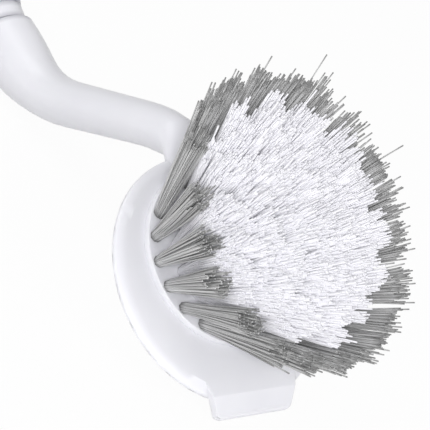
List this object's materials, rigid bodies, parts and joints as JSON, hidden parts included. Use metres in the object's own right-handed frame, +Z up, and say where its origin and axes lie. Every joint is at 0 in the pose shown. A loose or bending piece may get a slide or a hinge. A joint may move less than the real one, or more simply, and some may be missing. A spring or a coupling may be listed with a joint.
{
  "type": "dish brush",
  "caption": "Dish brush with a round head of grey and white bristle tufts that fan out, a scraper tab, a cranked neck and an oval grip with a hanging hole.",
  "frame": {"origin": "middle of the brush's box, on the surface that it lies on", "axes": "+X from the head to the grip's end, +Y across, +Z up with the brush on its back, resting on the scraper's tip and the bulge, bristles up"},
  "size_m": [0.2696, 0.0752, 0.0729],
  "materials": {
    "white_plastic": "smooth moulded, satin gloss",
    "grey_bristle": "fine extruded monofilament",
    "white_bristle": "fine extruded monofilament",
    "anchor_wire": "drawn flat wire"
  },
  "bodies": {
    "root": {"brush_body": "white_plastic", "outer_tuft_01": "grey_bristle", "outer_tuft_02": "grey_bristle", "outer_tuft_03": "grey_bristle", "outer_tuft_04": "grey_bristle", "outer_tuft_05": "grey_bristle", "outer_tuft_06": "grey_bristle", "outer_tuft_07": "grey_bristle", "outer_tuft_08": "grey_bristle", "outer_tuft_09": "grey_bristle", "outer_tuft_10": "grey_bristle", "outer_tuft_11": "grey_bristle", "outer_tuft_12": "grey_bristle", "outer_tuft_13": "grey_bristle", "outer_tuft_14": "grey_bristle", "outer_tuft_15": "grey_bristle", "outer_tuft_16": "grey_bristle", "outer_tuft_17": "grey_bristle", "outer_tuft_18": "grey_bristle", "outer_tuft_19": "grey_bristle", "outer_tuft_20": "grey_bristle", "outer_anchors": "anchor_wire", "second_tuft_01": "white_bristle", "second_tuft_02": "white_bristle", "second_tuft_03": "white_bristle", "second_tuft_04": "white_bristle", "second_tuft_05": "white_bristle", "second_tuft_06": "white_bristle", "second_tuft_07": "white_bristle", "second_tuft_08": "white_bristle", "second_tuft_09": "white_bristle", "second_tuft_10": "white_bristle", "second_tuft_11": "white_bristle", "second_tuft_12": "white_bristle", "second_tuft_13": "white_bristle", "second_tuft_14": "white_bristle", "second_anchors": "anchor_wire", "third_tuft_01": "white_bristle", "third_tuft_02": "white_bristle", "third_tuft_03": "white_bristle", "third_tuft_04": "white_bristle", "third_tuft_05": "white_bristle", "third_tuft_06": "white_bristle", "third_tuft_07": "white_bristle", "third_tuft_08": "white_bristle", "third_anchors": "anchor_wire", "middle_tuft_01": "white_bristle", "middle_tuft_02": "white_bristle", "middle_tuft_03": "white_bristle", "middle_anchors": "anchor_wire"}
  },
  "joints": []
}
